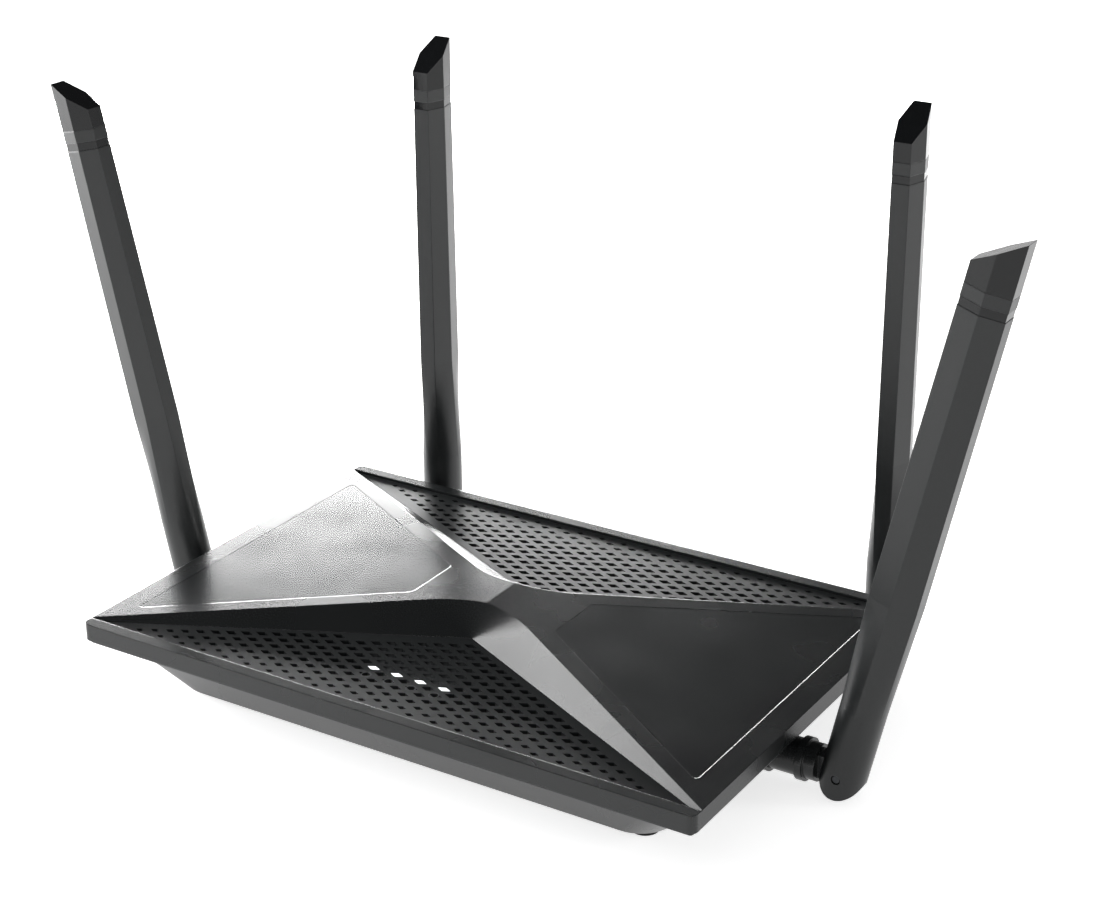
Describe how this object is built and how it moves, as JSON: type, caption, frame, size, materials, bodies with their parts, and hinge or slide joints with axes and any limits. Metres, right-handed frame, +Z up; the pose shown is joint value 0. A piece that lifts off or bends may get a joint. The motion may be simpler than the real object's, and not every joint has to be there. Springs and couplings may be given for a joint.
{
  "type": "wireless router",
  "caption": "Low desktop wireless router with a faceted two-slope roof, perforated triangular grilles and hinged blade antennas.",
  "frame": {"origin": "on the table, under the centre of the whole router's box at rest", "axes": "+X to the router's right seen from the front, +Y to the back where the ports are, +Z up"},
  "size_m": [0.3496, 0.175, 0.191],
  "materials": {
    "case_satin": "fine satin texture, near black",
    "grille_satin": "fine satin texture",
    "panel_satin": "smooth satin",
    "blade_satin": "satin",
    "trim_gloss": "polished black",
    "clear_window": "clear with a white glow",
    "foot_rubber": "matt",
    "screw_steel": "plain zinc-like",
    "board_resin": "green solder mask",
    "port_plastic": "moulded black",
    "button_plastic": "satin dark grey",
    "shield_metal": "tinned sheet",
    "sink_aluminium": "plain aluminium"
  },
  "bodies": {
    "case": {"top_cover": "case_satin", "front_grille": "grille_satin", "back_grille": "grille_satin", "left_panel": "panel_satin", "right_panel": "panel_satin", "light_pipes": "clear_window", "bottom_case": "case_satin", "rubber_feet": "foot_rubber", "case_screws": "screw_steel", "main_board": "board_resin", "board_screws": "screw_steel", "lan_ports": "port_plastic", "wan_port": "port_plastic", "usb_port": "shield_metal", "power_inlet": "port_plastic", "power_switch": "port_plastic", "tact_switches": "port_plastic", "chips": "port_plastic", "thermal_pad": "foot_rubber", "heat_sink": "sink_aluminium", "shield_cans": "shield_metal", "network_transformers": "port_plastic", "capacitors": "sink_aluminium", "status_lamps": "clear_window", "right_hub": "case_satin", "left_hub": "case_satin", "back_right_hub": "case_satin", "back_left_hub": "case_satin"},
    "right_swivel": {"right_knuckle": "case_satin"},
    "right_antenna": {"right_pin": "screw_steel", "right_sleeve": "blade_satin", "right_ring": "trim_gloss", "right_band": "blade_satin", "right_cap": "trim_gloss", "right_radiator": "board_resin"},
    "left_swivel": {"left_knuckle": "case_satin"},
    "left_antenna": {"left_pin": "screw_steel", "left_sleeve": "blade_satin", "left_ring": "trim_gloss", "left_band": "blade_satin", "left_cap": "trim_gloss", "left_radiator": "board_resin"},
    "back_right_swivel": {"back_right_knuckle": "case_satin"},
    "back_right_antenna": {"back_right_pin": "screw_steel", "back_right_sleeve": "blade_satin", "back_right_ring": "trim_gloss", "back_right_band": "blade_satin", "back_right_cap": "trim_gloss", "back_right_radiator": "board_resin"},
    "back_left_swivel": {"back_left_knuckle": "case_satin"},
    "back_left_antenna": {"back_left_pin": "screw_steel", "back_left_sleeve": "blade_satin", "back_left_ring": "trim_gloss", "back_left_band": "blade_satin", "back_left_cap": "trim_gloss", "back_left_radiator": "board_resin"},
    "power_button": {"power_button": "button_plastic"},
    "wps_button": {"wps_button": "button_plastic"},
    "reset_button": {"reset_button": "button_plastic"}
  },
  "joints": [
    {"name": "right_swivel_turn", "type": "hinge", "parent": "case", "child": "right_swivel", "pos_m": [0.1282, -0.01542, 0.0095], "axis": [1, 0, 0], "range_deg": [-90, 90]},
    {"name": "right_tilt", "type": "hinge", "parent": "right_swivel", "child": "right_antenna", "pos_m": [0.1282, -0.01542, 0.0095], "axis": [0, 1, 0], "range_deg": [-12.6, 77.4]},
    {"name": "left_swivel_turn", "type": "hinge", "parent": "case", "child": "left_swivel", "pos_m": [-0.1282, -0.01542, 0.0095], "axis": [-1, 0, 0], "range_deg": [-90, 90]},
    {"name": "left_tilt", "type": "hinge", "parent": "left_swivel", "child": "left_antenna", "pos_m": [-0.1282, -0.01542, 0.0095], "axis": [0, -1, 0], "range_deg": [-12.6, 77.4]},
    {"name": "back_right_swivel_turn", "type": "hinge", "parent": "case", "child": "back_right_swivel", "pos_m": [0.098, 0.07977, 0.0095], "axis": [0, 1, 0], "range_deg": [-70, 90]},
    {"name": "back_right_tilt", "type": "hinge", "parent": "back_right_swivel", "child": "back_right_antenna", "pos_m": [0.098, 0.07977, 0.0095], "axis": [-1, 0, 0], "range_deg": [0, 90]},
    {"name": "back_left_swivel_turn", "type": "hinge", "parent": "case", "child": "back_left_swivel", "pos_m": [-0.086, 0.07977, 0.0095], "axis": [0, 1, 0], "range_deg": [-90, 70]},
    {"name": "back_left_tilt", "type": "hinge", "parent": "back_left_swivel", "child": "back_left_antenna", "pos_m": [-0.086, 0.07977, 0.0095], "axis": [-1, 0, 0], "range_deg": [0, 90]},
    {"name": "power_button_press", "type": "slide", "parent": "case", "child": "power_button", "axis": [0, -1, 0], "range_m": [0, 0.002], "stiffness_N_per_m": 400},
    {"name": "wps_button_press", "type": "slide", "parent": "case", "child": "wps_button", "axis": [0, -1, 0], "range_m": [0, 0.0005], "stiffness_N_per_m": 1500},
    {"name": "reset_button_press", "type": "slide", "parent": "case", "child": "reset_button", "axis": [0, -1, 0], "range_m": [0, 0.0005], "stiffness_N_per_m": 1500}
  ]
}
